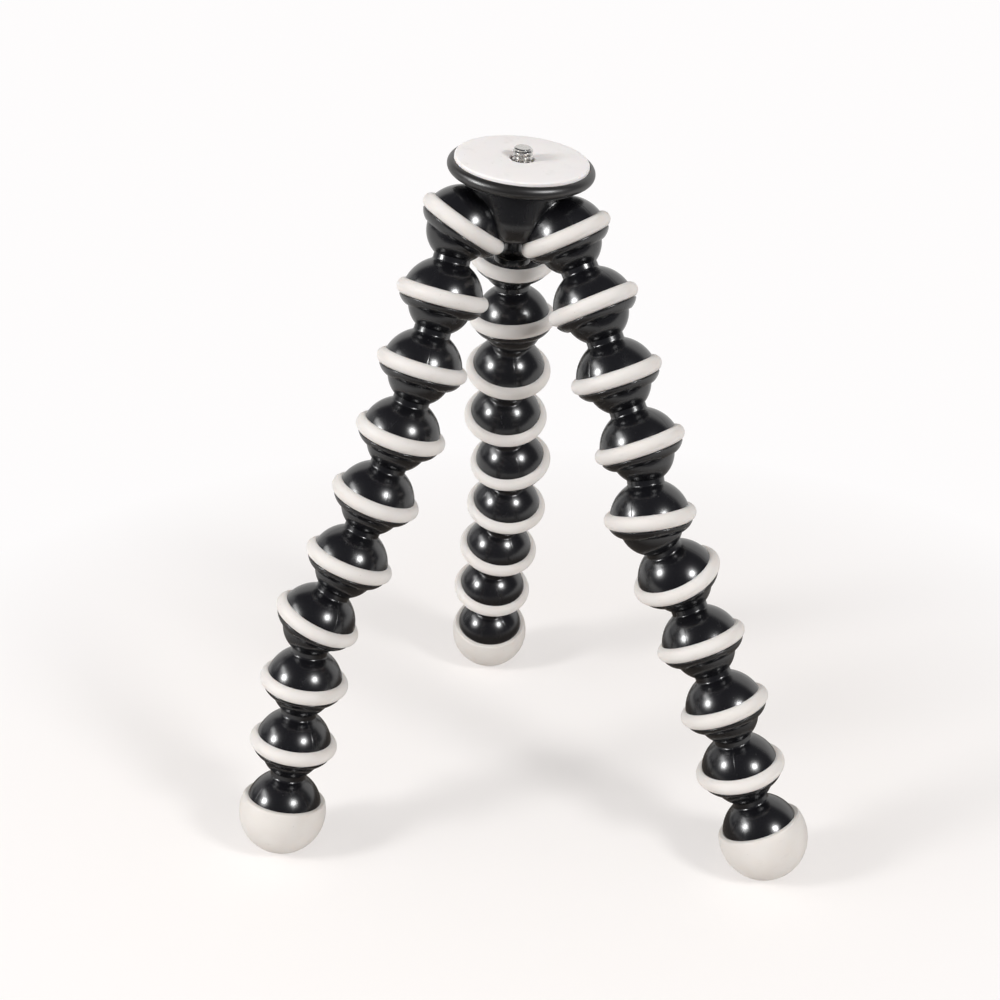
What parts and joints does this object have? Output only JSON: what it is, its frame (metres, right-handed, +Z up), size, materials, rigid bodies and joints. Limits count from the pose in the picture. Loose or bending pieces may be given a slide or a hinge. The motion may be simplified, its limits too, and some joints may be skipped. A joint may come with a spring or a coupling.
{
  "type": "flexible leg tripod",
  "caption": "Flexible leg tripod for a camera: legs of ball-and-socket links with rubber grip rings and round rubber feet, under a hub with a padded locking disc and a camera screw.",
  "frame": {"origin": "on the ground, under the middle of the tripod's outer box", "axes": "+Z up, +X to the right and +Y away from someone who stands in front of it"},
  "size_m": [0.1942, 0.1744, 0.2379],
  "materials": {
    "black_plastic": "gloss",
    "satin_plastic": "satin",
    "grip_rubber": "satin",
    "pad_rubber": "matte",
    "plated_steel": "bright plated"
  },
  "bodies": {
    "hub": {"hub_body": "black_plastic", "shoulder_sockets": "black_plastic", "shoulder_rings": "grip_rubber", "camera_stud": "plated_steel"},
    "camera_disc": {"locking_disc": "satin_plastic", "disc_pad": "pad_rubber"},
    "left_segment_1": {"left_link_1": "black_plastic", "left_ring_1": "grip_rubber"},
    "left_segment_2": {"left_link_2": "black_plastic", "left_ring_2": "grip_rubber"},
    "left_segment_3": {"left_link_3": "black_plastic", "left_ring_3": "grip_rubber"},
    "left_segment_4": {"left_link_4": "black_plastic", "left_ring_4": "grip_rubber"},
    "left_segment_5": {"left_link_5": "black_plastic", "left_ring_5": "grip_rubber"},
    "left_segment_6": {"left_link_6": "black_plastic", "left_ring_6": "grip_rubber"},
    "left_segment_7": {"left_link_7": "black_plastic", "left_ring_7": "grip_rubber"},
    "left_segment_8": {"left_link_8": "black_plastic", "left_ring_8": "grip_rubber"},
    "left_foot": {"left_foot_core": "black_plastic", "left_foot_boot": "grip_rubber"},
    "right_segment_1": {"right_link_1": "black_plastic", "right_ring_1": "grip_rubber"},
    "right_segment_2": {"right_link_2": "black_plastic", "right_ring_2": "grip_rubber"},
    "right_segment_3": {"right_link_3": "black_plastic", "right_ring_3": "grip_rubber"},
    "right_segment_4": {"right_link_4": "black_plastic", "right_ring_4": "grip_rubber"},
    "right_segment_5": {"right_link_5": "black_plastic", "right_ring_5": "grip_rubber"},
    "right_segment_6": {"right_link_6": "black_plastic", "right_ring_6": "grip_rubber"},
    "right_segment_7": {"right_link_7": "black_plastic", "right_ring_7": "grip_rubber"},
    "right_segment_8": {"right_link_8": "black_plastic", "right_ring_8": "grip_rubber"},
    "right_foot": {"right_foot_core": "black_plastic", "right_foot_boot": "grip_rubber"},
    "back_segment_1": {"back_link_1": "black_plastic", "back_ring_1": "grip_rubber"},
    "back_segment_2": {"back_link_2": "black_plastic", "back_ring_2": "grip_rubber"},
    "back_segment_3": {"back_link_3": "black_plastic", "back_ring_3": "grip_rubber"},
    "back_segment_4": {"back_link_4": "black_plastic", "back_ring_4": "grip_rubber"},
    "back_segment_5": {"back_link_5": "black_plastic", "back_ring_5": "grip_rubber"},
    "back_segment_6": {"back_link_6": "black_plastic", "back_ring_6": "grip_rubber"},
    "back_segment_7": {"back_link_7": "black_plastic", "back_ring_7": "grip_rubber"},
    "back_segment_8": {"back_link_8": "black_plastic", "back_ring_8": "grip_rubber"},
    "back_foot": {"back_foot_core": "black_plastic", "back_foot_boot": "grip_rubber"}
  },
  "joints": [
    {"name": "disc_turn", "type": "hinge", "parent": "hub", "child": "camera_disc", "pos_m": [0.00215, -0.01711, 0.22873], "axis": [0.0996, -0.1007, 0.9899], "continuous": true},
    {"name": "left_ball_1", "type": "hinge", "parent": "hub", "child": "left_segment_1", "pos_m": [-0.01747, -0.02449, 0.21289], "axis": [-0.4424, 0.8867, 0.1347], "range_deg": [-16, 48]},
    {"name": "left_ball_2", "type": "hinge", "parent": "left_segment_1", "child": "left_segment_2", "pos_m": [-0.02368, -0.03006, 0.19088], "axis": [0.817, 0.4604, -0.3472], "range_deg": [-36, 33]},
    {"name": "left_ball_3", "type": "hinge", "parent": "left_segment_2", "child": "left_segment_3", "pos_m": [-0.03069, -0.03519, 0.16901], "axis": [0.5069, -0.8611, 0.0396], "range_deg": [-36, 32]},
    {"name": "left_ball_4", "type": "hinge", "parent": "left_segment_3", "child": "left_segment_4", "pos_m": [-0.03822, -0.0376, 0.14684], "axis": [-0.8237, -0.4611, 0.33], "range_deg": [-32, 36]},
    {"name": "left_ball_5", "type": "hinge", "parent": "left_segment_4", "child": "left_segment_5", "pos_m": [-0.04727, -0.03995, 0.12524], "axis": [-0.4589, 0.8833, 0.0964], "range_deg": [-37, 32]},
    {"name": "left_ball_6", "type": "hinge", "parent": "left_segment_5", "child": "left_segment_6", "pos_m": [-0.05663, -0.04378, 0.10399], "axis": [0.782, 0.4549, -0.4262], "range_deg": [-40, 29]},
    {"name": "left_ball_7", "type": "hinge", "parent": "left_segment_6", "child": "left_segment_7", "pos_m": [-0.06825, -0.04635, 0.08368], "axis": [0.4398, -0.8873, -0.1393], "range_deg": [-51, 17]},
    {"name": "left_ball_8", "type": "hinge", "parent": "left_segment_7", "child": "left_segment_8", "pos_m": [-0.07303, -0.04804, 0.0607], "axis": [-0.8609, -0.4619, 0.2132], "range_deg": [-36, 33]},
    {"name": "left_ball_9", "type": "hinge", "parent": "left_segment_8", "child": "left_foot", "pos_m": [-0.0778, -0.05054, 0.03778], "axis": [-0.4742, 0.8804, 0.0028], "range_deg": [-35, 34]},
    {"name": "right_ball_1", "type": "hinge", "parent": "hub", "child": "right_segment_1", "pos_m": [0.01715, -0.02632, 0.20922], "axis": [-0.5507, -0.8342, -0.0294], "range_deg": [-37, 31]},
    {"name": "right_ball_2", "type": "hinge", "parent": "right_segment_1", "child": "right_segment_2", "pos_m": [0.02559, -0.03392, 0.18861], "axis": [-0.7245, 0.4952, -0.4795], "range_deg": [-33, 35]},
    {"name": "right_ball_3", "type": "hinge", "parent": "right_segment_2", "child": "right_segment_3", "pos_m": [0.0327, -0.0402, 0.16707], "axis": [0.5778, 0.8149, -0.0467], "range_deg": [-33, 36]},
    {"name": "right_ball_4", "type": "hinge", "parent": "right_segment_3", "child": "right_segment_4", "pos_m": [0.04012, -0.04719, 0.14585], "axis": [0.7469, -0.5082, 0.4287], "range_deg": [-28, 38]},
    {"name": "right_ball_5", "type": "hinge", "parent": "right_segment_4", "child": "right_segment_5", "pos_m": [0.04299, -0.05333, 0.12331], "axis": [-0.5818, -0.8005, 0.1439], "range_deg": [-34, 20]},
    {"name": "right_ball_6", "type": "hinge", "parent": "right_segment_5", "child": "right_segment_6", "pos_m": [0.05303, -0.05304, 0.10203], "axis": [-0.7735, 0.5232, -0.3577], "range_deg": [-51, 17]},
    {"name": "right_ball_7", "type": "hinge", "parent": "right_segment_6", "child": "right_segment_7", "pos_m": [0.06086, -0.05962, 0.08083], "axis": [0.5778, 0.8152, -0.0397], "range_deg": [-35, 33]},
    {"name": "right_ball_8", "type": "hinge", "parent": "right_segment_7", "child": "right_segment_8", "pos_m": [0.06876, -0.06545, 0.05944], "axis": [0.7517, -0.511, 0.4169], "range_deg": [-38, 29]},
    {"name": "right_ball_9", "type": "hinge", "parent": "right_segment_8", "child": "right_foot", "pos_m": [0.07453, -0.06753, 0.03672], "axis": [-0.5429, -0.8376, -0.0613], "range_deg": [-42, 27]},
    {"name": "back_ball_1", "type": "hinge", "parent": "hub", "child": "back_segment_1", "pos_m": [0.00173, 0.00459, 0.21391], "axis": [0.9931, -0.0525, -0.1053], "range_deg": [-12, 57]},
    {"name": "back_ball_2", "type": "hinge", "parent": "back_segment_1", "child": "back_segment_2", "pos_m": [-0.00052, 0.01174, 0.1916], "axis": [-0.0817, -0.9515, -0.2967], "range_deg": [-39, 26]},
    {"name": "back_ball_3", "type": "hinge", "parent": "back_segment_2", "child": "back_segment_3", "pos_m": [-0.00041, 0.0137, 0.16815], "axis": [-0.9981, 0.0615, 0.0008], "range_deg": [-17, 51]},
    {"name": "back_ball_4", "type": "hinge", "parent": "back_segment_3", "child": "back_segment_4", "pos_m": [-0.00222, 0.0224, 0.14636], "axis": [0.0875, 0.9276, 0.3632], "range_deg": [-33, 36]},
    {"name": "back_ball_5", "type": "hinge", "parent": "back_segment_4", "child": "back_segment_5", "pos_m": [-0.00325, 0.03188, 0.12484], "axis": [0.9949, -0.0652, -0.0765], "range_deg": [-32, 35]},
    {"name": "back_ball_6", "type": "hinge", "parent": "back_segment_5", "child": "back_segment_6", "pos_m": [-0.00126, 0.04058, 0.10306], "axis": [-0.0887, -0.9221, -0.3767], "range_deg": [-24, 44]},
    {"name": "back_ball_7", "type": "hinge", "parent": "back_segment_6", "child": "back_segment_7", "pos_m": [-0.00347, 0.04851, 0.08101], "axis": [-0.9919, 0.0482, 0.1171], "range_deg": [-35, 34]},
    {"name": "back_ball_8", "type": "hinge", "parent": "back_segment_7", "child": "back_segment_8", "pos_m": [-0.00684, 0.05639, 0.05909], "axis": [0.0843, 0.9418, 0.3255], "range_deg": [-33, 36]},
    {"name": "back_ball_9", "type": "hinge", "parent": "back_segment_8", "child": "back_foot", "pos_m": [-0.00944, 0.0643, 0.03708], "axis": [0.9903, -0.0428, -0.1324], "range_deg": [-35, 34]}
  ]
}
